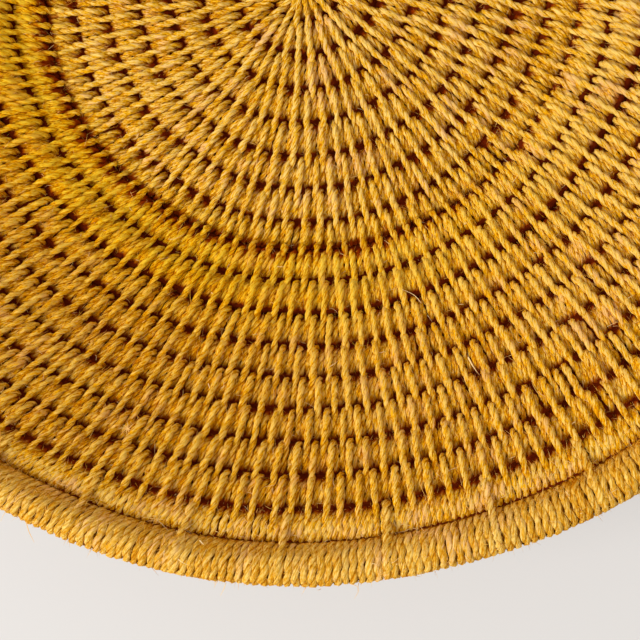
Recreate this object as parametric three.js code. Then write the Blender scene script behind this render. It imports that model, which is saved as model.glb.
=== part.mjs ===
// A shallow round basket of coiled sisal, in millimetres, with +Z up and its foot on z = 0.
//
// A bundle of loose fibre is bound with twine into a cord, and that cord is wound outwards from
// a small knot: flat for the base, then up a slope for the wall. A thicker bound bundle follows
// the last round as the rim, and twine stitches over the last round tie the rim down.
import * as THREE from "three";

// Driving sizes, in millimetres unless the name says otherwise
const coilDiameter = 7.65; // the bound cord of the body
const rimDiameter = 10.2; // the bound cord of the rim
const coilGap = 1.05; // the slit between one round and the next
const bundleDiameter = 3.8; // the loose fibres inside the body's cord
const rimBundleDiameter = 6; // the loose fibres inside the rim's cord
const knotDiameter = 4.8; // the start knot in the middle of the base
const knotHeight = 5.4;
const tipDiameter = 4; // where the cord starts beside the knot
const tailDiameter = 4.2; // where the rim's cord ends
const catchTwineDiameter = 1.6; // the twine of the rim's catch stitches
const catchLean = 1.9; // how far a catch stitch runs along the rim as it crosses
const seatClearance = 0.3; // between pieces that touch
const bundleClearance = 0.3; // between a bundle and the twine bound round it
const jointClearance = 0.4; // between the ends of two lengths of binding
const baseReach = 71; // from the middle to the bend between base and wall
const bendLength = 8.7; // the length of slope that the bend takes
const footShare = 0.1; // how much of the cord's diameter is worn flat underneath

// Driving angles, in degrees
const footSlope = 24.3; // the wall just above the bend
const topSlope = 35.7; // the wall where the rim begins
const startAzimuth = 150; // where the cord leaves the knot, seen from above

// Driving counts, in rounds of cord where the name doesn't say otherwise
const tipRounds = 0.75; // the cord's start, which tapers
const baseLengthRounds = 7.5; // what the first length of binding covers
const bodyRounds = 16 + 5 / 6; // all of the body
const rimSwellRounds = 1 / 12; // where the rim thickens
const rimTailRounds = 1 / 6; // where the rim thins out again
const rimOverlapRounds = 1 / 36; // how far the rim's tail laps over its start

// How finely the solids are stepped
const innerSteps = 12; // in each of the first rounds
const innerRounds = 3;
const baseSteps = 20; // in each later round of the base
const wallSteps = 36; // in each round of the wall and the rim, with a catch stitch at each
const shortestStep = 0.25; // the least share of a step at either end of a stretch
const coilSides = 6;
const rimSides = 8;
const bundleSides = 4;
const stitchSteps = 5;
const slopeStep = 0.25;

const colours = {
  binding: 0xd9a032,
  rim: 0xe0ab45,
  bundle: 0x9a6a1e,
  stitch: 0xecc06a,
};

const coilRadius = coilDiameter / 2;
const rimRadius = rimDiameter / 2;
const pitch = coilDiameter + coilGap;
const floorDrop = coilRadius - footShare * coilDiameter;
const rimEnd = bodyRounds + 1 + rimOverlapRounds;
const turn = 2 * Math.PI;

const degrees = THREE.MathUtils.degToRad;
const mix = THREE.MathUtils.lerp;
const ease = THREE.MathUtils.smoothstep;

// The cord's radius, by how many rounds of it lie before
function cordRadius(rounds) {
  if (rounds < bodyRounds) {
    return mix(tipDiameter / 2, coilRadius, ease(rounds, 0, tipRounds));
  }
  const swell = ease(rounds, bodyRounds, bodyRounds + rimSwellRounds);
  const tail = ease(rounds, rimEnd - rimTailRounds, rimEnd);
  return mix(mix(coilRadius, rimRadius, swell), tailDiameter / 2, tail);
}

// How far up the slope the cord's outer side lies, measured from the middle of the base
function outerEdge(rounds) {
  if (rounds < bodyRounds) {
    return knotDiameter / 2 + seatClearance + tipDiameter + pitch * rounds;
  }
  return outerEdge(rounds - 1) + coilGap + 2 * cordRadius(rounds);
}

// The wall's slope at a distance from the middle, eased through the bend
const wallStart = baseReach + bendLength / 2;
const wallEnd = outerEdge(bodyRounds);

function slopeAt(reach) {
  const bend = THREE.MathUtils.clamp((reach - wallStart) / bendLength + 1, 0, 1);
  const climb = Math.max(0, (reach - wallStart) / (wallEnd - wallStart));
  return degrees(bend * mix(footSlope, topSlope, climb));
}

// The radius and height of the slope at each step from the middle outwards
function walkSlope() {
  const places = [{ radius: 0, height: floorDrop }];
  const length = outerEdge(rimEnd) + pitch;
  for (let reach = slopeStep; reach < length; reach += slopeStep) {
    const last = places[places.length - 1];
    const slope = slopeAt(reach - slopeStep / 2);
    places.push({
      radius: last.radius + slopeStep * Math.cos(slope),
      height: last.height + slopeStep * Math.sin(slope),
    });
  }
  return places;
}

const slopePlaces = walkSlope();

function slopePlace(reach) {
  const steps = reach / slopeStep;
  const index = Math.floor(steps);
  const [below, above] = slopePlaces.slice(index, index + 2);
  return {
    radius: mix(below.radius, above.radius, steps - index),
    height: mix(below.height, above.height, steps - index),
  };
}

// The cord's middle and the two directions across it, in the upright plane through the axis
function cordFrame(rounds) {
  const reach = outerEdge(rounds) - cordRadius(rounds);
  const { radius, height } = slopePlace(reach);
  const azimuth = degrees(startAzimuth) + turn * rounds;
  const out = new THREE.Vector3(Math.cos(azimuth), Math.sin(azimuth), 0);
  const up = new THREE.Vector3(0, 0, 1);
  const slope = slopeAt(reach);
  return {
    middle: out.clone().multiplyScalar(radius).addScaledVector(up, height),
    along: out.clone().multiplyScalar(Math.cos(slope)).addScaledVector(up, Math.sin(slope)),
    off: out.clone().multiplyScalar(-Math.sin(slope)).addScaledVector(up, Math.cos(slope)),
    ahead: up.clone().cross(out),
  };
}

// The corners of a regular outline whose flat sides lie level with the slope
function outline(sides, radius) {
  const firstCorner = sides % 4 === 2 ? 0 : Math.PI / sides;
  return Array.from({ length: sides }, (_, i) => {
    const angle = firstCorner + (turn * i) / sides;
    return new THREE.Vector2(radius * Math.cos(angle), radius * Math.sin(angle));
  });
}

// The corners of the outline set across the cord, with none below the floor
function cordRing(rounds, sides, radius) {
  const { middle, along, off } = cordFrame(rounds);
  return outline(sides, radius).map(({ x, y }) => {
    const corner = middle.clone().addScaledVector(along, x).addScaledVector(off, y);
    corner.z = Math.max(0, corner.z);
    return corner;
  });
}

// The stations of a stretch of cord: its ends, and between them every step of the whole winding
function stations(from, to) {
  const zones = [
    { first: 0, last: innerRounds, steps: innerSteps },
    { first: innerRounds, last: baseLengthRounds, steps: baseSteps },
    { first: baseLengthRounds, last: rimEnd, steps: wallSteps },
  ];
  const list = [from];
  zones.forEach(({ first, last, steps }) => {
    for (let k = Math.ceil(first * steps); k < last * steps; k++) {
      const at = k / steps;
      if (at > from + shortestStep / steps && at < to - shortestStep / steps) {
        list.push(at);
      }
    }
  });
  list.push(to);
  return list;
}

// One closed skin over a row of rings, with a second row of rings as a hollow right through
function skin(rings, hollowRings, endOutline, endHollow) {
  const points = [];
  const faces = [];

  const addSide = (row, inward) => {
    const first = points.length;
    const count = row[0].length;
    row.forEach((ring) => points.push(...ring));
    for (let i = 0; i < row.length - 1; i++) {
      for (let j = 0; j < count; j++) {
        const a = first + i * count + j;
        const b = first + i * count + ((j + 1) % count);
        const quad = inward ? [b, a, b + count, a + count] : [a, b, a + count, b + count];
        faces.push([quad[0], quad[2], quad[1]], [quad[1], quad[2], quad[3]]);
      }
    }
    return first;
  };

  const outerFirst = addSide(rings, false);
  const hollowFirst = hollowRings ? addSide(hollowRings, true) : 0;
  const outerCount = endOutline.length;
  const hollowCount = hollowRings ? endHollow.length : 0;
  const caps = THREE.ShapeUtils.triangulateShape(endOutline, hollowRings ? [endHollow] : []);
  const startCorner = (i) => (i < outerCount ? outerFirst + i : hollowFirst + i - outerCount);
  const endCorner = (i) =>
    i < outerCount
      ? outerFirst + (rings.length - 1) * outerCount + i
      : hollowFirst + (rings.length - 1) * hollowCount + i - outerCount;
  caps.forEach(([a, b, c]) => {
    faces.push([startCorner(a), startCorner(b), startCorner(c)]);
    faces.push([endCorner(a), endCorner(c), endCorner(b)]);
  });

  const geometry = new THREE.BufferGeometry().setFromPoints(points);
  geometry.setIndex(faces.flat());
  geometry.computeVertexNormals();
  return geometry;
}

function mesh(name, geometry, color, roughness) {
  const material = new THREE.MeshStandardMaterial({ color, roughness, metalness: 0 });
  const made = new THREE.Mesh(geometry, material);
  made.name = name;
  return made;
}

// The bundle's radius inside the cord: it thins out with the cord's tip and tail
function bundleRadius(rounds) {
  const full = rounds < bodyRounds ? bundleDiameter / coilDiameter : rimBundleDiameter / rimDiameter;
  return full * cordRadius(rounds);
}

// A square hollow's corners stand back by the clearance of its flats
const cornerClearance = bundleClearance / Math.cos(Math.PI / bundleSides);

function bundle(name, from, to) {
  const rings = stations(from, to).map((at) => cordRing(at, bundleSides, bundleRadius(at)));
  const end = outline(bundleSides, bundleDiameter / 2);
  return mesh(name, skin(rings, null, end, null), colours.bundle, 0.95);
}

function binding(name, from, to, sides, color) {
  const list = stations(from, to);
  const rings = list.map((at) => cordRing(at, sides, cordRadius(at)));
  const hollow = list.map((at) =>
    cordRing(at, bundleSides, bundleRadius(at) + cornerClearance),
  );
  const endHollow = outline(bundleSides, bundleDiameter / 2);
  return mesh(name, skin(rings, hollow, outline(sides, coilRadius), endHollow), color, 0.85);
}

// The knot is a short barrel in the hole that the first round leaves
function startKnot() {
  const radius = knotDiameter / 2;
  const bottom = floorDrop - knotHeight / 2;
  const top = floorDrop + knotHeight / 2;
  const profile = [
    new THREE.Vector2(0, bottom),
    new THREE.Vector2(radius * 0.7, bottom),
    new THREE.Vector2(radius, mix(bottom, top, 0.3)),
    new THREE.Vector2(radius, mix(bottom, top, 0.7)),
    new THREE.Vector2(radius * 0.7, top),
    new THREE.Vector2(0, top),
  ];
  const geometry = new THREE.LatheGeometry(profile, innerSteps);
  geometry.rotateX(Math.PI / 2);
  return mesh("start_knot", geometry, colours.stitch, 0.9);
}

// The angle, seen from the first circle's middle, at which a point on it reaches the second
function meetingAngle(ownRadius, distance, otherRadius) {
  const share = (ownRadius ** 2 + distance ** 2 - otherRadius ** 2) / (2 * ownRadius * distance);
  return Math.acos(THREE.MathUtils.clamp(share, -1, 1));
}

// A catch stitch is an arch over the last round, from the groove at the rim to the next slit in
function catchStitch(rounds, number) {
  const rim = cordFrame(rounds);
  const last = cordFrame(rounds - 1);
  const inner = cordFrame(rounds - 2);
  const twine = catchTwineDiameter / 2;
  const twineCorner = twine / Math.cos(Math.PI / bundleSides);
  const around = cordRadius(rounds - 1) + seatClearance + twine;
  const toRim = rim.middle.clone().sub(last.middle);
  const toInner = inner.middle.clone().sub(last.middle);
  const rimReach = cordRadius(rounds) + seatClearance + twineCorner;
  const innerReach = cordRadius(rounds - 2) + seatClearance + twineCorner;
  const angleOf = (v) => Math.atan2(v.dot(last.off), v.dot(last.along));
  const first = angleOf(toRim) + meetingAngle(around, toRim.length(), rimReach);
  const end = (angleOf(toInner) + turn) % turn;
  const final = end - meetingAngle(around, toInner.length(), innerReach);

  const rings = [];
  for (let i = 0; i <= stitchSteps; i++) {
    const share = i / stitchSteps;
    const angle = mix(first, final, share);
    const away = last.along
      .clone()
      .multiplyScalar(Math.cos(angle))
      .addScaledVector(last.off, Math.sin(angle));
    const middle = last.middle
      .clone()
      .addScaledVector(away, around)
      .addScaledVector(last.ahead, catchLean * (share - 0.5));
    rings.push(
      outline(bundleSides, twineCorner).map(({ x, y }) =>
        middle.clone().addScaledVector(away, x).addScaledVector(last.ahead, -y),
      ),
    );
  }
  const name = "rim_catch_stitch_" + String(number).padStart(2, "0");
  return mesh(name, skin(rings, null, outline(bundleSides, twine), null), colours.stitch, 0.85);
}

// The least gap between rounds of the cord, from corner to corner of its rings
function leastGap(from, to, sides) {
  const rings = stations(from, to).map((at) => ({
    at,
    corners: cordRing(at, sides, cordRadius(at)),
  }));
  let least = Infinity;
  rings.forEach((one, i) => {
    rings.slice(i + 1).forEach((other) => {
      if (other.at - one.at < 0.5) {
        return;
      }
      one.corners.forEach((p) => {
        other.corners.forEach((q) => {
          least = Math.min(least, p.distanceTo(q));
        });
      });
    });
  });
  return least;
}

const endJoint = (rounds) => jointClearance / 2 / (turn * cordFrame(rounds).middle.length());

const basket = new THREE.Group();
basket.add(startKnot());
basket.add(bundle("foundation_bundle", 0, bodyRounds - endJoint(bodyRounds)));
const baseEnd = baseLengthRounds;
basket.add(binding("base_binding", 0, baseEnd - endJoint(baseEnd), coilSides, colours.binding));
const wallFrom = baseEnd + endJoint(baseEnd);
const wallTo = bodyRounds - endJoint(bodyRounds);
basket.add(binding("wall_binding", wallFrom, wallTo, coilSides, colours.binding));
const rimFrom = bodyRounds + endJoint(bodyRounds);
basket.add(bundle("rim_bundle", rimFrom, rimEnd));
basket.add(binding("rim_binding", rimFrom, rimEnd, rimSides, colours.rim));
const fullRimStart = bodyRounds + rimSwellRounds;
const fullRimEnd = rimEnd - rimTailRounds;
stations(fullRimStart, fullRimEnd).forEach((at, i) => {
  basket.add(catchStitch(at, i + 1));
});

// The middle of the whole outline lies over the origin, though the last round makes it lopsided
const size = new THREE.Box3().setFromObject(basket);
const centre = size.getCenter(new THREE.Vector3());
basket.position.set(-centre.x, -centre.y, 0);

console.log("least gap between rounds of the body: " + leastGap(0, bodyRounds, coilSides).toFixed(2));
console.log("least gap of the rim to itself: " + leastGap(rimFrom, rimEnd, rimSides).toFixed(2));

export default basket;
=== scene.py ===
"""A shallow round basket of coiled sisal.

A bundle of loose fibre is bound with two-ply twine into a cord, and the cord is wound outwards
from a small knot. One wrap in three is a long stitch, which runs over the new round and the one
inside it and holds the two together. A thicker bound bundle is the rim.
"""

import math
from functools import cache

import bpy
import numpy as np
from bpy.props import FloatProperty, FloatVectorProperty, IntProperty, PointerProperty
from mathutils import Matrix, Vector


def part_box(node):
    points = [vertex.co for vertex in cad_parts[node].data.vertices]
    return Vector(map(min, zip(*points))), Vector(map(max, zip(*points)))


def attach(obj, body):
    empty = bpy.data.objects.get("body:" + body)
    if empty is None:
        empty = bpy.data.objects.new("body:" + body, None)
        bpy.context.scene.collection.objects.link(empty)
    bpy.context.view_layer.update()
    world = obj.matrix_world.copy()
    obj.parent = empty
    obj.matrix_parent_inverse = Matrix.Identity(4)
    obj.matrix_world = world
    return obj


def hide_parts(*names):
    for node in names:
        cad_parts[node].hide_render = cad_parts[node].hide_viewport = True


bl_info = {
    "name": "Coiled sisal basket",
    "version": (1, 0, 0),
    "blender": (4, 5, 0),
    "location": "3D View > Sidebar > Basket",
    "description": "Makes the twine, the bundles and the stray fibres of a coiled sisal basket",
    "category": "Object",
}

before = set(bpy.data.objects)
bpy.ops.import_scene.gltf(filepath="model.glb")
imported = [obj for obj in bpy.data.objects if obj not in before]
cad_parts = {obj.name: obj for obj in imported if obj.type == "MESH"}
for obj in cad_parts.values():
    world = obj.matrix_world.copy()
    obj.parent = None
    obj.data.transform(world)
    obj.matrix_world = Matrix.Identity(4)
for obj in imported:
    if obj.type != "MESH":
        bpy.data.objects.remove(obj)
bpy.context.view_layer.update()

MM = 0.001
TURN = 2 * math.pi


def length(name, description, millimetres):
    """A property for a length."""
    return FloatProperty(
        name=name, description=description, default=millimetres * MM, unit="LENGTH", precision=5
    )


def number(name, description, value):
    """A property for a plain number, such as a count of rounds."""
    return FloatProperty(name=name, description=description, default=value)


def angle(name, description, degrees):
    """A property for an angle."""
    return FloatProperty(
        name=name, description=description, default=math.radians(degrees), subtype="ANGLE"
    )


def colour(name, description, *shade):
    """A property for a colour."""
    return FloatVectorProperty(
        name=name, description=description, default=shade, subtype="COLOR", min=0, max=1
    )


class BasketSizes(bpy.types.PropertyGroup):
    """Sizes of the cord, its winding and the twine round it"""

    coil_diameter: length("Cord", "Bound cord of the body, across", 7.65)
    rim_diameter: length("Rim", "Bound cord of the rim, across", 10.2)
    coil_gap: length("Slit", "Slit between one round and the next", 1.05)
    knot_diameter: length("Knot", "Start knot in the middle of the base", 4.8)
    tip_diameter: length("Tip", "Cord where it starts beside the knot", 4.0)
    tail_diameter: length("Tail", "Rim's cord where it ends", 4.2)
    seat_clearance: length("Seat", "Gap between the knot and the first round", 0.3)
    base_reach: length("Base", "From the middle to the bend below the wall", 71)
    bend_length: length("Bend", "Length of slope that the bend takes", 8.7)
    foot_share: number("Foot", "Share of the cord's diameter that is worn flat", 0.1)
    crease_step: length("Crease", "How far the wall's first round steps up from the base", 2.1)
    foot_slope: angle("Foot slope", "Wall just above the bend", 24.3)
    top_slope: angle("Top slope", "Wall where the rim begins", 35.7)
    start_azimuth: angle("Start", "Where the cord leaves the knot, seen from above", 150)
    tip_rounds: number("Tip rounds", "Rounds over which the cord's start tapers", 0.75)
    base_rounds: number("Base rounds", "Rounds that the first length of twine binds", 7.5)
    body_rounds: number("Body rounds", "Rounds of cord up to the rim", 16 + 5 / 6)
    rim_swell_rounds: number("Swell", "Rounds over which the rim thickens", 1 / 12)
    rim_tail_rounds: number("Tail rounds", "Rounds over which the rim thins out", 1 / 6)
    rim_overlap_rounds: number("Overlap", "How far the rim's tail laps over its start", 1 / 36)
    catch_rounds: number("Catch step", "Rounds from one catch stitch to the next", 1 / 36)

    twine_diameter: length("Twine", "Two-ply binding twine, across", 1.9)
    stitch_spacing: length("Stitch", "From one long stitch to the next along the cord", 4.41)
    rim_spacing: length("Rim wrap", "From one wrap of the rim to the next", 1.87)
    lay_step: length("Lay", "Length over which the two plies turn a sixth of a turn", 1.05)
    hair_length: length("Hair", "Stray fibre, longest", 9)
    hair_count: IntProperty(name="Hairs", description="Stray fibres on the basket", default=5200)
    fuzz_length: length("Fuzz", "Fibre end that stands out of the twine, longest", 3.0)
    fuzz_count: IntProperty(name="Fuzz ends", description="Fibre ends on the twine", default=46000)


class BasketColours(bpy.types.PropertyGroup):
    """Colours of the fibre's dye, some also standing for painted light and shade, and of the studio
    """

    # The light fibre's bluer tint is partly a painted highlight, standing in for a sheen
    light: colour("Light fibre", "Fibres that catch the light", 0.89, 0.58, 0.15)
    # Proud twine is painted lighter, towards the bright and light fibre
    bright: colour("Bright fibre", "Fibres that stand proud", 0.86, 0.455, 0.007)
    middle: colour("Ochre fibre", "Most of the twine", 0.82, 0.385, 0.003)
    # The deep fibre is also the base of the painted shade in slits, creases and ply grooves
    deep: colour("Deep fibre", "Fibres in the grooves of the twine", 0.50, 0.16, 0.001)
    # Pale fibre shows only on light twine, so it also paints the pale sheen of highlights
    pale: colour("Pale fibre", "Fibres that took little dye", 0.86, 0.475, 0.21)
    rim: colour("Rim fibre", "Most of the rim's twine", 0.72, 0.35, 0.016)
    # Painted light pushes proud rim twine and the rim's outer side towards this colour
    rim_bright: colour("Bright rim fibre", "Fibres that stand proud on the rim", 0.80, 0.47, 0.09)
    # The body's core is painted near black, as the shade at the bottom of the slits where it shows
    core: colour("Core", "Loose fibres of the body's bundle", 0.14, 0.014, 0.0004)
    rim_core: colour("Rim core", "Loose fibres of the rim's bundle", 0.26, 0.085, 0.004)
    hair: colour("Hair", "Stray fibres", 0.90, 0.66, 0.32)
    floor: colour("Floor", "Pale studio floor", 0.69, 0.663, 0.636)


def smooth(value, low, high):
    """Eases from 0 at low to 1 at high."""
    share = np.clip((value - low) / (high - low), 0, 1)
    return share * share * (3 - 2 * share)


def unit(vectors):
    """The vectors with their lengths made 1."""
    return vectors / np.linalg.norm(vectors, axis=-1, keepdims=True)


def across(a, b):
    """Dot product of matching rows."""
    return np.sum(a * b, axis=-1, keepdims=True)


def summed(steps):
    """Running sum, from 0."""
    return np.concatenate([[0], np.cumsum(steps)])


def facing(along, off, phi):
    """Direction out of the cord, at an angle round it."""
    return along * np.cos(phi)[..., None] + off * np.sin(phi)[..., None]


class CordLine:
    """The middle line of the wound cord, and the directions across it, by rounds wound before."""

    table_step = 0.25 * MM
    mean_lean, lean_swing = 7.5, 5.5  # of the stitches, in degrees
    lean_front = math.radians(-92)  # where they lean by the mean
    crease_fades = (8.7, 10.9)  # rounds over which the crease's step levels out
    # On the far side of the basket the wall gets painted light.
    shade_side = math.radians(215)  # painted crease shade and tints are strongest here
    # Waves of the hand-wound line: how many to a round, and how large in millimetres
    waves = [(2.06, 0.20), (3.93, 0.18), (7.09, 0.15), (11.05, 0.12), (17.12, 0.08), (31.3, 0.05)]

    def __init__(self, sizes):
        self.sizes = sizes
        low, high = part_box("start_knot")
        self.pole = np.array([(low.x + high.x) / 2, (low.y + high.y) / 2, 0])
        self.coil_radius = sizes.coil_diameter / 2
        self.rim_radius = sizes.rim_diameter / 2
        self.pitch = sizes.coil_diameter + sizes.coil_gap
        self.floor_drop = self.coil_radius - sizes.foot_share * sizes.coil_diameter
        self.rim_end = sizes.body_rounds + 1 + sizes.rim_overlap_rounds
        self.wall_start = sizes.base_reach + sizes.bend_length / 2
        self.wall_end = self.plain_edge(sizes.body_rounds)
        last = float(self.outer_edge(self.rim_end)) + self.pitch
        self.reach = np.arange(0, last, self.table_step)
        slope = self.slope_at(self.reach[1:] - self.table_step / 2)
        self.radius = summed(self.table_step * np.cos(slope))
        self.height = self.floor_drop + summed(self.table_step * np.sin(slope))

    def cord_radius(self, rounds):
        """Half the cord's thickness."""
        s = self.sizes
        tip = smooth(rounds, 0, s.tip_rounds)
        body = s.tip_diameter / 2 * (1 - tip) + self.coil_radius * tip
        swell = smooth(rounds, s.body_rounds, s.body_rounds + s.rim_swell_rounds)
        tail = smooth(rounds, self.rim_end - s.rim_tail_rounds, self.rim_end)
        rim = self.coil_radius * (1 - swell) + self.rim_radius * swell
        rim = rim * (1 - tail) + s.tail_diameter / 2 * tail
        return np.where(rounds < s.body_rounds, body, rim)

    def plain_edge(self, rounds):
        """Where the outer side of the body's cord lies, up the slope from the middle."""
        s = self.sizes
        return s.knot_diameter / 2 + s.seat_clearance + s.tip_diameter + self.pitch * rounds

    def outer_edge(self, rounds):
        """Where the outer side of the cord lies, up the slope from the middle."""
        s = self.sizes
        rounds = np.asarray(rounds, float)
        one = self.plain_edge(rounds - 1) + s.coil_gap + 2 * self.cord_radius(rounds)
        before = self.plain_edge(rounds - 2) + s.coil_gap + 2 * self.cord_radius(rounds - 1)
        two = before + s.coil_gap + 2 * self.cord_radius(rounds)
        rim = np.where(rounds < s.body_rounds + 1, one, two)
        return np.where(rounds < s.body_rounds, self.plain_edge(rounds), rim)

    def slope_at(self, reach):
        """The wall's slope, eased through the bend."""
        s = self.sizes
        bend = np.clip((reach - self.wall_start) / s.bend_length + 1, 0, 1)
        climb = np.maximum(0, (reach - self.wall_start) / (self.wall_end - self.wall_start))
        return bend * (s.foot_slope * (1 - climb) + s.top_slope * climb)

    def spread(self, rounds):
        """How far further out the hand-pulled rounds have settled."""
        s = self.sizes
        places = [0, 1.5, 2.5, 7.4, 8, 9, 10.5, 15.6, s.body_rounds, s.body_rounds + 0.1]
        places += [self.rim_end - s.rim_tail_rounds / 2, self.rim_end]
        shift = [0, 0, 0.55, 0.55, 0.6, 0.9, 1.35, 1.35, 0.75, 0.4, 0.4, -1.5]
        return np.interp(rounds, places, shift) * MM

    def unevenness(self, rounds):
        """How far a hand-wound cord strays from its line, sideways and in height."""
        side, rise = np.zeros_like(rounds), np.zeros_like(rounds)
        for k, (turns, size) in enumerate(self.waves):
            side += size * np.sin(TURN * turns * rounds + 1.7 * k)
            rise += 0.6 * size * np.sin(TURN * (turns + 1.02) * rounds + 2.9 * k + 1)
        settled = smooth(rounds, 1, 3) * (1 - 0.25 * smooth(rounds, 16.6, 17)) * MM
        crease = self.sizes.base_rounds
        step = smooth(rounds, crease - 0.15, crease + 0.2)
        step = step * (1 - smooth(rounds, *self.crease_fades))
        return side * settled, rise * settled + self.sizes.crease_step * step

    def at(self, rounds):
        """Middle, direction out along the slope, direction off it, and direction ahead."""
        rounds = np.asarray(rounds, float)
        side, rise = self.unevenness(rounds)
        reach = self.outer_edge(rounds) - self.cord_radius(rounds) + side + self.spread(rounds)
        radius = np.interp(reach, self.reach, self.radius)
        height = np.interp(reach, self.reach, self.height)
        slope = self.slope_at(reach)
        azimuth = self.sizes.start_azimuth + TURN * rounds
        flat = np.zeros_like(azimuth)
        out = np.stack([np.cos(azimuth), np.sin(azimuth), flat], -1)
        up = np.stack([flat, flat, flat + 1], -1)
        along, off = facing(out, up, slope), facing(up, -out, slope)
        ahead = np.stack([-np.sin(azimuth), np.cos(azimuth), flat], -1)
        middle = self.pole + out * radius[..., None] + up * height[..., None]
        return middle + off * rise[..., None], along, off, ahead

    def round_length(self, rounds):
        """Length of cord in one round there."""
        reach = self.outer_edge(rounds) - self.cord_radius(rounds)
        return TURN * np.interp(reach, self.reach, self.radius)

    def lean(self, rounds):
        """How far ahead a stitch runs while it crosses one round, which a hand varies."""
        front = self.sizes.start_azimuth + TURN * np.asarray(rounds, float) - self.lean_front
        swing = np.sin(2.6 * np.arctan2(np.sin(front), np.cos(front)))
        degrees = self.mean_lean - self.lean_swing * swing
        degrees += 2.0 * np.sin(1.3 * rounds + 0.4) + 1.5 * np.sin(TURN * 5.07 * rounds)
        return self.pitch * np.tan(np.radians(degrees))


def stitch_places(line):
    """Where each long stitch starts, in rounds.

    Each goes between two stitches of the round before, and where those have come far enough
    apart, two go in.
    """
    even_rounds, first_followed = 1.6, 0.55  # stitched evenly, and where the rest follows them
    wide_gap = 1.2  # in stitches: from there on a second one goes in sooner
    room_share, scatter = 0.2, 0.045  # how far a stitch moves within its room, and by chance
    sizes = line.sizes
    random = np.random.default_rng(11)
    inner = np.linspace(0, even_rounds, 400)
    count = summed(line.round_length(inner[1:]) * np.diff(inner)) / sizes.stitch_spacing
    places = list(np.interp(np.arange(0, int(count[-1])), count, inner))
    first = int(np.searchsorted(places, first_followed))
    owed = 0.0
    while places[-1] < sizes.body_rounds + 0.1:
        last = len(places) - 1
        old = np.array(places[first:])
        middle = (old[1:] + old[:-1]) / 2 + 1
        shift = line.lean(middle) / line.round_length(middle)
        gaps = np.diff(old) * line.round_length(middle) / sizes.stitch_spacing
        new, room = [], []
        for k, gap in enumerate(gaps):
            owed += gap
            put = max(0, math.floor(owed + 0.5 + 0.5 * min(0.4, gap - wide_gap)))
            owed -= put
            span = old[k + 1] - old[k]
            for part in range(put):
                place = (part + 0.5 + 0.12 * (put - 1) * (0.5 - part)) / put
                new.append(old[k] + 1 + span * place)
                room.append(span)
        new = np.array(new) - np.interp(new, middle, shift)
        room = np.array(room)
        home, reach = new.copy(), room_share * room
        for _ in range(5):  # The stitches ease apart, each within its own room
            even = new.copy()
            even[1:-1] = (new[2:] + new[:-2]) / 2
            new = np.clip(new + 0.5 * (even - new), home - reach, home + reach)
        new = new + random.normal(0, scatter, len(new)) * room
        new = np.sort(new[new > places[-1] + 0.4 * room.mean()])
        first = last
        places += list(new)
    return np.array(places)


# A path's control points hold these columns. The height column is how far a point lies above or
# below the cord's middle, shifted where more or less shade is painted; the material paints shade
# on low twine and light on proud twine.
POINT, NORMAL, OFF = slice(0, 3), slice(3, 6), slice(6, 9)
SHADE_HEIGHT, WIDTH, STEP, TONE, SIZE, DEPTH = 9, 10, 11, 12, 13, 14
COLUMNS = 15

UNSHADED_HEIGHT = 4.2 * MM  # height given to twine that gets no painted shade, and some painted light
UNSHADED_UNTIL = 100  # degrees round the rim's cord, past which its twine gets painted shade by its height
RIM_DEPTH = 0.62  # of the rim's wraps and the catch stitches, which are pulled flat
OWN, INNER, BETWEEN = 0, 1, 2

# Each row: which cord, angle round it, extra height in millimetres, share of the way across the
# top, share of the way back beneath, and step in lay steps. Twine lies flush on its own cord, and
# proud over the inner one and between the two.
LONG_STITCH = [
    (OWN, -62, 0, 0.00, 0, 1.4),
    (OWN, -22, 0, 0.01, 0, 1.3),
    (OWN, 20, 0, 0.05, 0, 1.1),
    (OWN, 56, 0, 0.14, 0, 1.0),
    (OWN, 88, 0.15, 0.25, 0, 1.0),
    (OWN, 112, 0.65, 0.37, 0, 1.0),
    (BETWEEN, 90, -0.5, 0.51, 0, 1.0),
    (INNER, 60, -0.02, 0.65, 0, 1.0),
    (INNER, 90, 0, 0.77, 0, 1.0),
    (INNER, 120, 0, 0.88, 0, 1.0),
    (INNER, 150, -0.05, 0.97, 0, 1.1),
    (INNER, 180, -0.1, 1, 0, 1.6),
    (INNER, 210, -0.1, 1, 0.10, 1.6),
    (INNER, 240, 0, 1, 0.22, 1.5),
    (INNER, 270, 0, 1, 0.36, 1.4),
    (INNER, 302, -0.2, 1, 0.50, 1.4),
    (BETWEEN, 270, -0.8, 1, 0.64, 1.4),
    (OWN, 250, 0.5, 1, 0.80, 1.4),
    (OWN, 278, 0.1, 1, 0.94, 1.4),
]
SHORT_WRAP = [
    (OWN, -60, 0, 0.00, 0, 1.5),
    (OWN, -18, 0, 0.02, 0, 1.5),
    (OWN, 24, 0.05, 0.12, 0, 1.2),
    (OWN, 62, 0.05, 0.32, 0, 1.0),
    (OWN, 96, -0.05, 0.56, 0, 1.0),
    (OWN, 134, -0.4, 0.82, 0, 1.1),
    (OWN, 172, 0, 0.98, 0, 1.5),
    (OWN, 214, 0, 1, 0.25, 1.5),
    (OWN, 256, 0, 1, 0.65, 1.5),
]


def beside(rounds, groove, cos, least, until=1):
    """Where twine faces a groove, from the round before it or from those after."""
    past = rounds - groove
    before = (past > -1) & (past < 0) & (cos > least)
    return before | ((past > 0) & (past < until) & (cos < -least))


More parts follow.
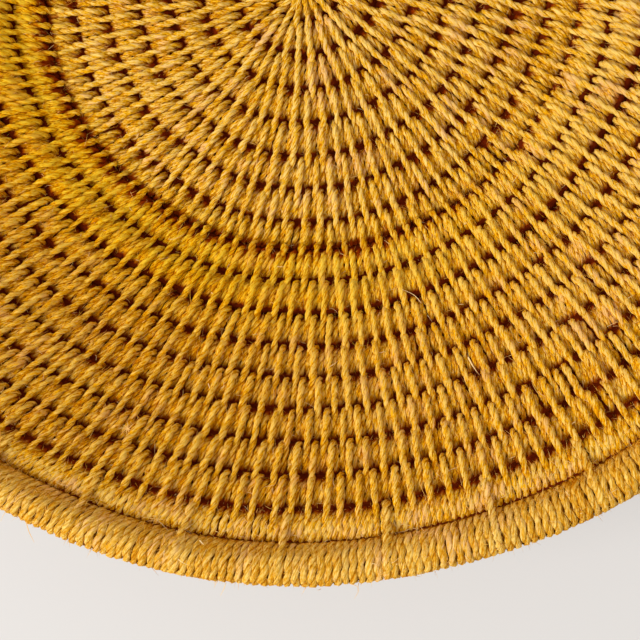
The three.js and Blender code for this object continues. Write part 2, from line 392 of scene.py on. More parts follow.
class Winder:
    """Lays control points of twine round the cord."""

    # Proud and flush twine: half width of its loop, its own width, and its own depth
    loop_widths = (4.02 * MM, 3.52 * MM)
    widths = (0.97, 1.04)
    depths = (0.92, 0.70)
    proud_height = 4.20 * MM  # half height of a proud loop
    rim_oval = 1.08  # width of the rim's loop by its height
    rim_width = 1.12  # of the rim's twine itself
    rim_step = 1.25  # of a rim wrap's points, at most, in lay steps
    rim_squeeze = 0.27 * MM  # how much wider twine lies in the groove beside the rim
    # How much more painted shade twine gets in a slit, in the crease and over the crease, and how
    # much less beside the rim and beside the wall
    in_slit, in_crease, over_crease = 0.7 * MM, 1.7 * MM, 1.1 * MM
    by_rim, by_wall = -1.8 * MM, -1.1 * MM
    # What varies from wrap to wrap, as standard deviations
    angle_spread = 1.5  # degrees
    lift_spread = 0.05 * MM
    jump_spread = 0.36 * MM
    size_spread = 0.07

    def __init__(self, line, seed):
        self.line = line
        self.sizes = line.sizes
        self.random = np.random.default_rng(seed)

    def half_sizes(self, rounds, proud):
        """Half width and half height of the loop that the twine's middle follows."""
        thick = self.sizes.twine_diameter / 2
        radius = self.line.cord_radius(rounds)
        full = radius / self.line.coil_radius
        side = np.where(proud, *self.loop_widths)
        top = np.where(proud, self.proud_height, self.line.coil_radius - thick)
        spare = np.where(proud, 0.9 * thick, 0)  # What stays the same where the cord is thinner
        rim = rounds > self.sizes.body_rounds
        wide = np.where(rim, (radius - thick) * self.rim_oval, (side - spare) * full + spare)
        high = np.where(rim, radius - thick, (top - spare) * full + spare)
        return wide, high

    def crease_shade_share(self, rounds):
        """Painted shade in the crease: full on one side of the basket, none on the other."""
        azimuth = self.sizes.start_azimuth + TURN * rounds
        return smooth(np.cos(azimuth - self.line.shade_side), -0.3, 0.35)

    def shade_bias(self, rounds, proud, cos, sin):
        """How much more painted shade the twine gets than its height on the cord gives."""
        base, rim = self.sizes.base_rounds, self.sizes.body_rounds
        up = sin > 0
        shade_bias = np.where(proud, 0, self.in_slit * smooth(-cos, 0.1, 0.8) * np.sign(sin))
        near_rim = ((rounds > rim - 1) & (cos > 0.1)) | ((rounds > rim) & (cos < -0.1))
        shade_bias = np.where(near_rim & up, self.by_rim, shade_bias)
        shade_bias = np.where(beside(rounds, base + 1.1, cos, 0.1) & up, self.by_wall, shade_bias)
        creased = beside(rounds, base + 0.1, cos, 0.05) & up
        return shade_bias + self.in_crease * creased * self.crease_shade_share(rounds)

    def lay(self, template, start, across_top, pitch_ahead, tone, jitter=0.08):
        """Control points of one kind of stitch at many places, by place and point.

        Each stitch runs across_top ahead while it crosses the top, and pitch_ahead in all.
        """
        which, degrees, lift, top, back, step = np.array(template, float).T
        proud, shape = which != OWN, (len(start), len(template))
        ahead = across_top[:, None] * top + (pitch_ahead - across_top)[:, None] * back
        wander = self.random.normal(0, jitter * MM, shape)
        rounds = start[:, None] + (ahead + wander) / self.line.round_length(start)[:, None]
        own = self.line.at(rounds)
        inner = self.line.at(np.maximum(rounds - 1, 0))
        phi = np.radians(degrees + self.random.normal(0, self.angle_spread, shape))
        lift = lift * MM + self.random.normal(0, self.lift_spread, shape)
        past = start - self.sizes.base_rounds
        pulled_in = 0.55 * MM * smooth(past, 0.9, 1.1) * (1 - smooth(past, 2, 2.2))
        lift -= pulled_in[:, None] * (proud & (top < 1))
        out = np.empty((*shape, COLUMNS))

        def put(here, middle, arm, normal, off, shade_bias):
            out[:, here, POINT] = middle + arm
            out[:, here, NORMAL] = normal
            out[:, here, OFF] = off
            out[:, here, SHADE_HEIGHT] = across(arm, off)[..., 0] - shade_bias

        for cord, where in ((OWN, own), (INNER, inner)):
            here = which == cord
            at_rounds = rounds[:, here] - (cord == INNER)
            middle, along, off = (v[:, here] for v in where[:3])
            cos, sin = np.cos(phi[:, here]), np.sin(phi[:, here])
            wide, high = self.half_sizes(at_rounds, proud[here])
            wide = wide + self.rim_squeeze * beside(at_rounds, self.sizes.body_rounds, cos, 0, 2)
            normal = facing(along, off, phi[:, here])
            arm = along * (cos * wide)[..., None] + off * (sin * high)[..., None]
            arm = arm + normal * lift[:, here][..., None]
            put(here, middle, arm, normal, off, self.shade_bias(at_rounds, proud[here], cos, sin))
        here = which == BETWEEN
        if here.any():
            sign = np.where(degrees[here] < 180, 1, -1)[:, None]
            middle = (own[0][:, here] + inner[0][:, here]) / 2
            off = own[2][:, here]
            _, high = self.half_sizes(rounds[:, here], proud[here])
            # Twine over the crease gets painted shade, on one side of the basket
            past = rounds[:, here] - self.sizes.base_rounds
            creased = (past > 0) & (past < 1) & (sign[:, 0] > 0)
            shade_bias = self.over_crease * creased * self.crease_shade_share(rounds[:, here])
            arm = off * sign * (high + lift[:, here])[..., None]
            put(here, middle, arm, off * sign, off, shade_bias)
        out[:, :, WIDTH] = np.where(proud, *self.widths)
        out[:, :, DEPTH] = np.where(proud, *self.depths)
        out[:, :, STEP] = step
        out[:, :, TONE] = tone[:, None]
        out[:, :, SIZE] = 1 + self.random.normal(0, self.size_spread, len(start))[:, None]
        return out

    def body(self, places, first, last):
        """Control points of the twine from one long stitch to another."""
        picked = places[first : last + 1]
        start, gap = picked[:-1], np.diff(picked)
        third = gap / 3 * self.line.round_length(start)
        lean = self.line.lean(start)
        tone = self.random.normal(0, 1, (3, len(start)))
        jump = self.random.normal(0, self.jump_spread, len(start))
        long = self.lay(LONG_STITCH, start, 2 * lean + jump, third, tone[0])
        alone = start < 1  # These have no round inside them
        if alone.any():
            plain = self.lay(SHORT_WRAP, start, lean, third, tone[0])
        less = np.minimum(lean, third)
        short = [self.lay(SHORT_WRAP, start + gap * k / 3, less, third, tone[k]) for k in (1, 2)]
        parts = []
        for i in range(len(start)):
            parts += [plain[i] if alone[i] else long[i], short[0][i], short[1][i]]
        end = self.lay(LONG_STITCH[:1], picked[-1:], lean[-1:], third[-1:], tone[0][-1:])
        return np.concatenate([*parts, end[0]])

    def rim(self, first, last):
        """Control points of the wraps round the rim's cord."""
        rounds = np.linspace(first, last, 2000)
        density = self.line.round_length(rounds) / self.sizes.rim_spacing
        count = summed((density[1:] + density[:-1]) / 2 * np.diff(rounds))
        start = np.interp(np.arange(0, int(count[-1])), count, rounds)
        spacing = np.full(len(start), self.sizes.rim_spacing)
        tone = self.random.normal(0, 1, len(start))
        lean = np.minimum(self.line.lean(start) * 1.1 + 0.4 * MM, 0.95 * spacing)
        wraps = self.lay(SHORT_WRAP, start, lean, spacing, tone, jitter=0.15)
        wraps[:, :, STEP] = np.minimum(wraps[:, :, STEP], self.rim_step)
        wraps[:, :, WIDTH] = self.rim_width
        wraps[:, :, DEPTH] = RIM_DEPTH
        # The rim's outer twine gets no painted shade, and some painted light
        outer = np.array(SHORT_WRAP)[:, 1] < UNSHADED_UNTIL
        wraps[:, outer, SHADE_HEIGHT] = UNSHADED_HEIGHT
        return wraps.reshape(-1, COLUMNS)


def flow(points, pieces=6):
    """Points of a smooth curve through the control points, all columns alike."""
    before = np.vstack([2 * points[0] - points[1], points[:-1]])
    after = np.vstack([points[1:], 2 * points[-1] - points[-2]])
    slope = (after - before) / 2
    u = (np.arange(pieces) / pieces)[:, None, None]
    curve = (
        (2 * u**3 - 3 * u**2 + 1) * points[:-1]
        + (u**3 - 2 * u**2 + u) * slope[:-1]
        + (-2 * u**3 + 3 * u**2) * points[1:]
        + (u**3 - u**2) * slope[1:]
    )
    curve = curve.transpose(1, 0, 2).reshape(-1, points.shape[1])
    return np.vstack([curve, points[-1:]])


def rings_of(points, lay_step):
    """Evenly stepped rings along a path, and their distance from its start."""
    curve = flow(points)
    gaps = np.linalg.norm(np.diff(curve[:, POINT], axis=0), axis=1)
    weight = 1 / (lay_step * np.clip(curve[:, STEP], 0.5, 3))
    index = summed(gaps * (weight[1:] + weight[:-1]) / 2)
    count = max(3, int(round(index[-1])) + 1)
    wanted = np.linspace(0, index[-1], count)
    place = np.interp(wanted, index, np.arange(len(index)))
    low = np.minimum(place.astype(int), len(curve) - 2)
    share = (place - low)[:, None]
    rings = curve[low] * (1 - share) + curve[low + 1] * share
    return rings, np.interp(wanted, index, summed(gaps))


def twine_section():
    """One section of two-ply twine, modelled from a circle: the corners' angles and distances."""
    bpy.ops.object.select_all(action="DESELECT")
    bpy.ops.mesh.primitive_circle_add(vertices=6, radius=1)
    section = bpy.context.object
    bpy.ops.object.mode_set(mode="EDIT")
    bpy.ops.mesh.select_all(action="DESELECT")
    bpy.ops.object.mode_set(mode="OBJECT")
    for vertex in section.data.vertices:  # The two corners in the groove between the plies
        vertex.select = abs(vertex.co.x) < 0.1
    bpy.ops.object.mode_set(mode="EDIT")
    bpy.ops.transform.resize(value=(0.62, 0.62, 1), center_override=(0, 0, 0))
    bpy.ops.mesh.select_all(action="INVERT")
    bpy.ops.transform.resize(value=(0.98, 1.1, 1), center_override=(0, 0, 0))
    bpy.ops.object.mode_set(mode="OBJECT")
    corners = np.array([v.co[:2] for v in section.data.vertices])
    bpy.data.objects.remove(section)
    turned = np.arctan2(corners[:, 1], corners[:, 0])
    turned = (turned - turned[0]) % TURN
    order = np.argsort(turned)
    return turned[order], np.linalg.norm(corners, axis=1)[order]


def press_flat(points):
    """Nothing reaches below the floor: what would is worn flat."""
    worn = 1.5 * MM
    low = points[:, 2] < worn
    points[low, 2] = worn * np.exp((points[low, 2] - worn) / worn)
    return points


def tube(count, sides):
    """Ring and corner of each face along a tube, and all its faces, with those of its ends."""
    ring, corner = (v.ravel() for v in np.indices((count - 1, sides)))
    here, there = ring * sides + corner, ring * sides + (corner + 1) % sides
    faces = np.stack([here, here + sides, there + sides, there], 1)
    fan = np.array([[0, k, k + 1, k + 2] for k in range(1, sides - 2, 2)])
    return ring, corner, np.vstack([faces, fan, (count - 1) * sides + fan[:, ::-1]])


def twine_skin(path, section, sizes, thickness, ply_turn, seed):
    """The mesh of a length of twine: its points, faces, UV map and values by point."""
    fibre_turn = 0.5  # how far the fibres of a ply turn with it
    ply_apart = 50  # between the two plies in the UV map, in millimetres
    swell, window = 0.07, np.ones(25) / 25  # how much the thickness varies, and over which rings
    rings, distance = rings_of(path, sizes.lay_step)
    turned, reach = section
    count, sides = len(rings), len(turned)
    random = np.random.default_rng(seed)
    centre = rings[:, POINT]
    tangent = np.empty_like(centre)
    tangent[1:-1] = centre[2:] - centre[:-2]
    tangent[0], tangent[-1] = centre[1] - centre[0], centre[-1] - centre[-2]
    tangent = unit(tangent)
    normal = unit(rings[:, NORMAL] - tangent * across(rings[:, NORMAL], tangent))
    side = np.cross(normal, tangent)
    twist = random.uniform(0, TURN) + np.arange(count) * TURN * ply_turn
    wave = np.cumsum(random.normal(0, 1, count))
    wave = wave - np.convolve(wave, window, mode="same")
    size = rings[:, SIZE] * (1 + swell * np.clip(wave / 2.2, -1.6, 1.6)) * thickness / 2
    theta = twist[:, None] + turned
    x = np.cos(theta) * reach * (size * rings[:, WIDTH])[:, None]
    y = np.sin(theta) * reach * (size * rings[:, DEPTH])[:, None]
    arm = side[:, None] * x[..., None] + normal[:, None] * y[..., None]
    points = centre[:, None] + arm
    height = rings[:, None, SHADE_HEIGHT] + across(arm, rings[:, None, OFF])[..., 0]
    values = {
        "tone": np.repeat(rings[:, TONE], sides),
        "height": height.ravel() / MM,
        "crest": np.tile(smooth(reach, reach.min(), reach.max()), count),
    }
    i, j, faces = tube(count, sides)
    around = np.append(turned, TURN) + fibre_turn * twist[:, None]
    around = around * thickness / 2 / MM
    u = np.stack([around[i, j + 1], around[i + 1, j + 1], around[i + 1, j], around[i, j]], 1)
    u += ply_apart * (j >= sides // 2)[:, None]
    v = distance[np.stack([i, i + 1, i + 1, i], 1)] / MM
    uv = np.vstack([np.stack([u, v], -1).reshape(-1, 2), np.zeros((4 * (len(faces) - len(i)), 2))])
    return points.reshape(-1, 3), faces[:, ::-1], uv, values


def add_mesh(name, points, faces, values, finish, uv=None):
    """A smooth mesh object with its place in its mesh."""
    mesh = bpy.data.meshes.new(name)
    corners = faces.shape[1]
    mesh.vertices.add(len(points))
    mesh.vertices.foreach_set("co", points.astype(np.float32).ravel())
    mesh.loops.add(faces.size)
    mesh.loops.foreach_set("vertex_index", faces.astype(np.int32).ravel())
    mesh.polygons.add(len(faces))
    mesh.polygons.foreach_set("loop_start", np.arange(len(faces), dtype=np.int32) * corners)
    mesh.update(calc_edges=True)
    mesh.polygons.foreach_set("use_smooth", np.ones(len(faces), bool))
    if uv is not None:
        layer = mesh.uv_layers.new(name="Twine")
        layer.data.foreach_set("uv", uv.astype(np.float32).ravel())
    for key, data in values.items():
        attribute = mesh.attributes.new(key, "FLOAT", "POINT")
        attribute.data.foreach_set("value", data.astype(np.float32))
    mesh.materials.append(material(finish))
    made = bpy.data.objects.new(name, mesh)
    bpy.context.scene.collection.objects.link(made)
    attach(made, "root")
    return made


def dye(points, line):
    """The twine's yellow and brown tints, and its painted light, by its place in the basket."""
    x, y, _ = (points - line.pole).T
    radius = np.hypot(x, y) / MM
    side = np.clip(0.5 + 0.62 * np.cos(np.arctan2(y, x) - line.shade_side), 0, 1)
    yellow = np.interp(radius, [62, 71, 84, 100], [0, 1, 1, 0]) * side
    brown = np.interp(radius, [80, 98, 128, 138], [0, 1, 0.9, 0.3]) * side
    # Painted light: the wall is made lighter on the side away from the tints
    painted_light = smooth(radius, 66, 80) * (1 - smooth(radius, 105, 135)) * (1 - side)
    return {"yellow": yellow, "brown": brown, "painted_light": painted_light}


def twine_piece(name, path, finish, seed, thickness=None, ply_turn=1 / 6):
    """A piece made of one length of twine."""
    line, section, _ = workshop()
    thickness = thickness or line.sizes.twine_diameter
    points, faces, uv, values = twine_skin(path, section, line.sizes, thickness, ply_turn, seed)
    values.update(dye(points, line))
    return add_mesh(name, press_flat(points), faces, values, finish, uv)


class Graph:
    """A tree of shader nodes, with short ways to add to it."""

    def __init__(self, tree):
        self.tree = tree

    def feed(self, socket, value):
        """Links a socket to another one, or sets its number, vector or colour."""
        if isinstance(value, bpy.types.NodeSocket):
            self.tree.links.new(value, socket)
        else:
            socket.default_value = (*value, 1) if socket.type == "RGBA" else value

    def fill(self, node, inputs):
        """Feeds several sockets of a node."""
        for key, value in inputs.items():
            self.feed(node.inputs[key], value)

    def node(self, kind, inputs=None, **settings):
        """A node with its settings and what it is fed."""
        made = self.tree.nodes.new("ShaderNode" + kind)
        for key, value in settings.items():
            setattr(made, key, value)
        self.fill(made, inputs or {})
        return made

    def maths(self, operation, a, b, clamp=False):
        """A maths node of two inputs, each a socket or a number."""
        made = self.node("Math", {0: a, 1: b}, operation=operation, use_clamp=clamp)
        return made.outputs[0]

    def above(self, value, low, gain, clamp=False):
        """How far a value lies above a low one, times a gain."""
        return self.maths("MULTIPLY", self.maths("SUBTRACT", value, low), gain, clamp)

    def ease(self, value, low, high, first=0, last=1):
        """Eases from first, where the value is low, to last, where it is high."""
        inputs = {"Value": value, "From Min": low, "From Max": high}
        inputs.update({"To Min": first, "To Max": last})
        made = self.node("MapRange", inputs, interpolation_type="SMOOTHSTEP")
        return made.outputs["Result"]

    def mix(self, share, below, above, kind="MIX"):
        """A mix of two colours."""
        inputs = {"Factor": share, "A": below, "B": above}
        made = self.node("Mix", inputs, data_type="RGBA", blend_type=kind)
        return made.outputs["Result"]

    def noise(self, vector, scale, detail, roughness=0.5, dimensions="3D"):
        """A noise texture's values."""
        inputs = {"Vector": vector, "Scale": scale, "Detail": detail, "Roughness": roughness}
        return self.node("TexNoise", inputs, noise_dimensions=dimensions).outputs["Fac"]

    def held(self, name):
        """A value that the points of a mesh hold."""
        return self.node("Attribute", attribute_name=name).outputs["Fac"]

    def bump(self, height, strength):
        """A normal for fibres that stand up by up to 0.3 mm."""
        inputs = {"Strength": strength, "Distance": 0.3 * MM, "Height": height}
        return self.node("Bump", inputs).outputs["Normal"]


def fibre_streaks_group():
    """Twine fibres from the piece's own UV map in millimetres, with painted light and shade."""
    tree = bpy.data.node_groups.new("Fibre streaks", "ShaderNodeTree")
    for way, kind, names in (
        ("INPUT", "NodeSocketColor", ("Light", "Ochre", "Deep", "Bright", "Pale")),
        ("INPUT", "NodeSocketFloat", ("Lift", "Contrast", "Painted shade", "Proud")),
        ("OUTPUT", "NodeSocketColor", ("Color",)),
        ("OUTPUT", "NodeSocketFloat", ("Height", "Roughness")),
    ):
        for name in names:
            tree.interface.new_socket(name, in_out=way, socket_type=kind)
    given = tree.nodes.new("NodeGroupInput").outputs
    result = tree.nodes.new("NodeGroupOutput")
    g = Graph(tree)
    uv = g.node("UVMap", uv_map="Twine").outputs["UV"]
    place = g.node("TexCoord").outputs["Object"]

    def streaks(around, along, detail, roughness):
        stretched = g.node("Mapping", {"Vector": uv, "Scale": (around, along, 1)})
        return g.noise(stretched.outputs["Vector"], 1, detail, roughness, "2D")

    def with_contrast(value):
        return g.maths("MULTIPLY", value, given["Contrast"])

    fine = streaks(2.1, 0.30, 2, 0.8)
    speck = streaks(2.5, 1.2, 1, 0.5)
    broad = streaks(1.0, 0.14, 2, 0.5)
    patch = g.noise(place, 34, 3)
    spots = g.noise(place, 120, 3)
    crisp = g.maths("ADD", g.above(fine, 0.5, 4.2), 0.5, clamp=True)
    ridge = g.ease(g.held("crest"), 0, 0.34)
    flush = g.maths("SUBTRACT", 1, given["Proud"])

    # How light a fibre is: streaks, strand by strand, slow patches of dye, painted shade between
    # the plies, painted light on proud twine and painted light on one side of the wall
    value = with_contrast(g.maths("SUBTRACT", crisp, 0.5))
    for more in (
        with_contrast(g.above(speck, 0.5, 1.7)),
        g.above(broad, 0.5, 0.7),
        g.maths("MULTIPLY", g.held("tone"), 0.085),
        g.above(patch, 0.5, 0.5),
        # painted shade in the grooves between the plies, deeper on flush twine
        g.above(ridge, 0.85, 0.45),
        g.maths("MULTIPLY", g.above(ridge, 0.85, 0.25), flush),
        # painted light on proud twine
        g.above(given["Proud"], 0.42, 0.38),
        # painted light on the far side of the wall
        g.maths("MULTIPLY", g.held("painted_light"), 0.2),
    ):
        value = g.maths("ADD", value, more)
    value = g.maths("ADD", value, given["Lift"], clamp=True)

    dye_and_light = given["Deep"]
    for name, low, high in (("Ochre", 0, 0.42), ("Bright", 0.42, 0.78), ("Light", 0.78, 1)):
        dye_and_light = g.mix(g.above(value, low, 1 / (high - low), clamp=True), dye_and_light, given[name])
    # Pale fibres that took little dye, shown only where the fibre is light, so they also paint the
    # pale sheen of highlights
    pale = g.maths("ADD", spots, g.above(broad, 0.5, 0.5))
    pale = g.above(pale, 0.57, 8, clamp=True)
    pale = g.maths("MULTIPLY", pale, g.above(value, 0.35, 1.1, clamp=True))
    dye_and_light = g.mix(pale, dye_and_light, given["Pale"])
    for name, shade in (("yellow", (0.98, 0.92, 0.20)), ("brown", (0.98, 0.88, 0.55))):
        dye_and_light = g.mix(g.held(name), dye_and_light, shade, "MULTIPLY")
    # Painted shade: the deep colour darkened further, mixed in where twine lies low in slits and
    # creases
    painted_shade_colour = g.mix(1, given["Deep"], (0.72, 0.27, 0.2), "MULTIPLY")
    relief = g.maths("ADD", crisp, g.maths("MULTIPLY", ridge, 1.3))
    rough = g.maths("SUBTRACT", 0.74, g.maths("MULTIPLY", value, 0.18))
    dye_and_light = g.mix(given["Painted shade"], dye_and_light, painted_shade_colour)
    g.fill(result, {"Color": dye_and_light, "Height": relief, "Roughness": rough})
    return tree


def new_material(name):
    """A material, the graph of its nodes and its shader."""
    made = bpy.data.materials.new(name)
    made.use_nodes = True
    return made, Graph(made.node_tree), made.node_tree.nodes["Principled BSDF"]


def twine_material(name, colours, bright, ochre, contrast, lift):
    """Dyed sisal twine, with painted shade where it lies low and painted light where proud."""
    made, graph, shader = new_material(name)
    away = graph.maths("ABSOLUTE", graph.held("height"), 0)
    inputs = {
        "Light": colours.light,
        "Bright": bright,
        "Ochre": ochre,
        "Deep": colours.deep,
        "Pale": colours.pale,
        "Contrast": contrast,
        "Lift": lift,
        # Painted shade on twine near the cord's middle, painted light on twine that stands proud
        "Painted shade": graph.ease(away, 0.8, 2.7, 1, 0),
        "Proud": graph.ease(away, 3.3, 4.7),
    }
    group = bpy.data.node_groups.get("Fibre streaks") or fibre_streaks_group()
    fibres = graph.node("Group", inputs, node_tree=group).outputs
    inputs = {"Base Color": fibres["Color"], "Roughness": fibres["Roughness"]}
    inputs["Normal"] = graph.bump(fibres["Height"], 0.7)
    graph.fill(shader, {**inputs, "Specular IOR Level": 0.015})
    return made


def core_material(name, core):
    """Loose brown fibres inside the cord; the body's are painted near black, as shade."""
    made, graph, shader = new_material(name)
    noise = graph.noise(graph.node("TexCoord").outputs["Object"], 900, 4)
    shades = [[min(1, c * gain) for c in core] for gain in (0.4, 1.6)]
    inputs = {"Base Color": graph.mix(noise, *shades), "Normal": graph.bump(noise, 1)}
    graph.fill(shader, {**inputs, "Roughness": 0.9, "Specular IOR Level": 0.05})
    return made


def hair_material(name, colours):
    """Single stray fibres."""
    made, graph, shader = new_material(name)
    shade = graph.mix(graph.held("tone"), colours.middle, colours.hair)
    graph.fill(shader, {"Base Color": shade, "Roughness": 0.6, "Specular IOR Level": 0.06})
    return made


MATERIALS = {
    "Sisal twine": lambda name, c: twine_material(name, c, c.bright, c.middle, 1.0, 0.66),
    "Sisal rim twine": lambda name, c: twine_material(name, c, c.rim_bright, c.rim, 0.6, 0.36),
    "Sisal core": lambda name, c: core_material(name, c.core),
    "Sisal rim core": lambda name, c: core_material(name, c.rim_core),
    "Stray fibre": hair_material,
}


def material(name):
    """The finished material of that name, made on first use."""
    colours = bpy.context.scene.basket_colours
    return bpy.data.materials.get(name) or MATERIALS[name](name, colours)


@cache
def workshop():
    """The cord's line, the twine's section and the places of the long stitches, made once."""
    line = CordLine(bpy.context.scene.basket_sizes)
    return line, twine_section(), stitch_places(line)


def both_sides(*upper):
    """A section from its upper corners, out along the slope and off it, in millimetres."""
    return np.array([*upper, *((x, -y) for x, y in upper[-2:0:-1])])


BODY_BUNDLE = both_sides(
    (5.2, 0), (4.1, 0.8), (2.2, 1.7), (0, 2.1), (-2.2, 1.7), (-4.1, 0.8), (-5.2, 0)
)
RIM_BUNDLE = both_sides(
    (4.2, 0), (3.85, 1.5), (2.85, 2.8), (0, 3.8), (-2.85, 2.8), (-4.6, 1.2), (-6.0, 0)
)


def bundle_piece(name, first, last, section, steps, finish):
    """A bundle of loose fibre, swept along the cord and squeezed out into the slits beside it."""
    line, _, _ = workshop()
    binding = 1.05 * MM  # thickness of the twine's layer
    count, sides = int((last - first) * steps) + 2, len(section)
    rounds = np.linspace(first, last, count)
    middle, along, off, _ = line.at(rounds)
    room = line.cord_radius(rounds) - binding
    full = room / (line.cord_radius(np.array((first + last) / 2)) - binding)
    ring = along[:, None] * section[:, :1] + off[:, None] * section[:, 1:]
    points = (middle[:, None] + ring * full[:, None, None] * MM).reshape(-1, 3)
    _, _, faces = tube(count, sides)
    made = add_mesh(name, press_flat(points), faces, {}, finish)
    return made


class BASKET_OT_bundles(bpy.types.Operator):
    """Lay the bundles of loose fibre inside the body's cord and the rim's"""

    bl_idname = "basket.bundles"
    bl_label = "Fibre bundles"

    def execute(self, context):
        edge, end = context.scene.basket_sizes.body_rounds, workshop()[0].rim_end
        body = bundle_piece("fibre_bundle", 0.05, edge, BODY_BUNDLE, 60, "Sisal core")
        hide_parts("foundation_bundle")
        rim = bundle_piece("rim_fibre_bundle", edge, end, RIM_BUNDLE, 90, "Sisal rim core")
        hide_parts("rim_bundle")
        return {"FINISHED"}


class BASKET_OT_start_knot(bpy.types.Operator):
    """Tie the start knot in the middle of the base"""

    bl_idname = "basket.start_knot"
    bl_label = "Start knot"

    def execute(self, context):
        line, _, _ = workshop()
        steps, rounds = 1500, 2.3
        # All in millimetres: how far out the knot's cord starts, grows and opens, half its width,
        # what is added to that where it opens, and half its height
        start, growth, opened = 0.6, 2.8, 1.6
        wide, wider, high = 1.0, 0.7, 1.5
        ring = line.sizes.start_azimuth - TURN * np.linspace(rounds, 0, steps)
        opening = smooth(ring, ring[-1] - math.radians(150), ring[-1])
        reach = (start + growth * np.linspace(0, 1, steps) + opened * opening) * MM
        wrap_spacing, points_per_wrap = 1.02 * MM, 10
        wraps = np.cumsum(reach * (ring[1] - ring[0])) / wrap_spacing
        wanted = np.linspace(0, wraps[-1], int(points_per_wrap * wraps[-1]))
        ring, opening, reach = (np.interp(wanted, wraps, v) for v in (ring, opening, reach))
        turn = TURN * wanted
        out = np.stack([np.cos(ring), np.sin(ring), 0 * ring], -1)
        up = np.array([[0, 0, 1.0]])
        radius = reach + (wide + wider * opening) * MM * np.cos(turn)
        height = line.floor_drop + high * MM * np.sin(turn)
        path = np.zeros((len(wanted), COLUMNS))
        path[:, POINT] = line.pole + out * radius[:, None] + up * height[:, None]
        path[:, NORMAL] = facing(out, up, turn)
        path[:, OFF] = up
        path[:, SHADE_HEIGHT] = 3.4 * MM
        path[:, WIDTH] = path[:, STEP] = 0.8
        path[:, SIZE] = path[:, DEPTH] = 1
        made = twine_piece("start_knot_twine", path, "Sisal twine", 7, 1.5 * MM)
        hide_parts("start_knot")
        return {"FINISHED"}


def wind_body(names, bounds, replaced):
    """Pieces of the body's twine, one for each stretch between bounds, in rounds."""
    line, _, places = workshop()
    for k, name in enumerate(names):
        first = int(np.searchsorted(places, bounds[k]))
        last = min(int(np.searchsorted(places, bounds[k + 1])), len(places) - 1)
        path = Winder(line, 100 + first).body(places, first, last)
        made = twine_piece(name, path, "Sisal twine", 300 + first)
        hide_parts(replaced)


class BASKET_OT_base_twine(bpy.types.Operator):
    """Bind and stitch the rounds of the base"""

    bl_idname = "basket.base_twine"
    bl_label = "Base twine"

    def execute(self, context):
        bounds = [0, 5.5, context.scene.basket_sizes.base_rounds]
        wind_body(["base_twine_inner", "base_twine_outer"], bounds, "base_binding")
        return {"FINISHED"}


class BASKET_OT_wall_twine(bpy.types.Operator):
    """Bind and stitch the rounds of the wall"""

    bl_idname = "basket.wall_twine"
    bl_label = "Wall twine"

    def execute(self, context):
        sizes = context.scene.basket_sizes
        names = [f"wall_twine_{k + 1:02d}" for k in range(9)]
        bounds = np.linspace(sizes.base_rounds, sizes.body_rounds, len(names) + 1)
        wind_body(names, bounds, "wall_binding")
        return {"FINISHED"}


class BASKET_OT_rim_twine(bpy.types.Operator):
    """Bind the rim's cord"""

    bl_idname = "basket.rim_twine"
    bl_label = "Rim twine"

    def execute(self, context):
        line, _, _ = workshop()
        path = Winder(line, 41).rim(line.sizes.body_rounds, line.rim_end)
        made = twine_piece("rim_twine", path, "Sisal rim twine", 43, 2.0 * MM, 1 / 7.5)
        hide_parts("rim_binding")
        return {"FINISHED"}


# Each row: round or groove, angle round it (in the groove 0), distance from its middle, or for
# the rim from its wraps, and way ahead, both in millimetres
CATCH_STITCH = [
    ("rim", -75, -1.0, -1.4),
    ("rim", -48, -0.2, -1.3),
    ("rim", -15, 0.15, -1.25),
    ("rim", 20, 0.35, -1.1),
    ("rim", 55, 0.4, -0.8),
    ("rim", 90, 0.4, -0.4),
    ("rim", 122, 0.35, -0.1),
    ("groove", 0, 3.5, 0.15),
    ("last", 62, 3.85, 0.4),
    ("last", 92, 3.95, 0.6),
    ("last", 122, 4.0, 0.8),
    ("last", 152, 4.2, 0.9),
    ("last", 182, 4.0, 0.9),
    ("last", 215, 4.1, 0.8),
    ("last", 250, 4.3, 0.6),
    ("last", 285, 4.3, 0.3),
    ("groove", 0, -4.2, 0.0),
    ("rim", 235, 0.7, -0.3),
    ("rim", 262, 0.2, -0.6),
    ("rim", 285, -1.2, -0.9),
]


def catch_stitch_path(line, rounds, seed):
    """Twine over the rim and the last round, and back beneath."""
    random = np.random.default_rng(seed)
    path = np.zeros((len(CATCH_STITCH), COLUMNS))
    shift = random.normal(0, 0.4)
    flush = line.rim_radius - line.sizes.twine_diameter / 2
    for row, (where, degrees, size, ahead) in zip(path, CATCH_STITCH):
        here = rounds + (ahead + shift) * MM / float(line.round_length(np.array(rounds)))
        rim, last = line.at(here), line.at(here - 1)
        if where == "groove":
            middle = rim[0] * line.coil_radius + last[0] * line.rim_radius
            middle = middle / (line.coil_radius + line.rim_radius)
            off = last[2]
            normal, radius = np.sign(size) * off, abs(size) * MM
        else:
            middle, along, off, _ = rim if where == "rim" else last
            normal = facing(along, off, math.radians(degrees))
            radius = size * MM + (flush if where == "rim" else 0)
        row[POINT], row[NORMAL], row[OFF] = middle + normal * radius, normal, off
        # Painted shade by height in the groove and beneath the rim; the rest of the rim gets
        # painted light
        takes_painted_shade = where != "rim" or abs(degrees) > UNSHADED_UNTIL
        row[SHADE_HEIGHT] = radius * np.dot(normal, off) if takes_painted_shade else UNSHADED_HEIGHT
    path[:, WIDTH] = random.uniform(1.0, 1.35)
    path[:, STEP] = 1
    path[:, TONE] = random.normal(1.2, 0.8)
    path[:, SIZE] = 0.98
    path[:, DEPTH] = RIM_DEPTH
    return path


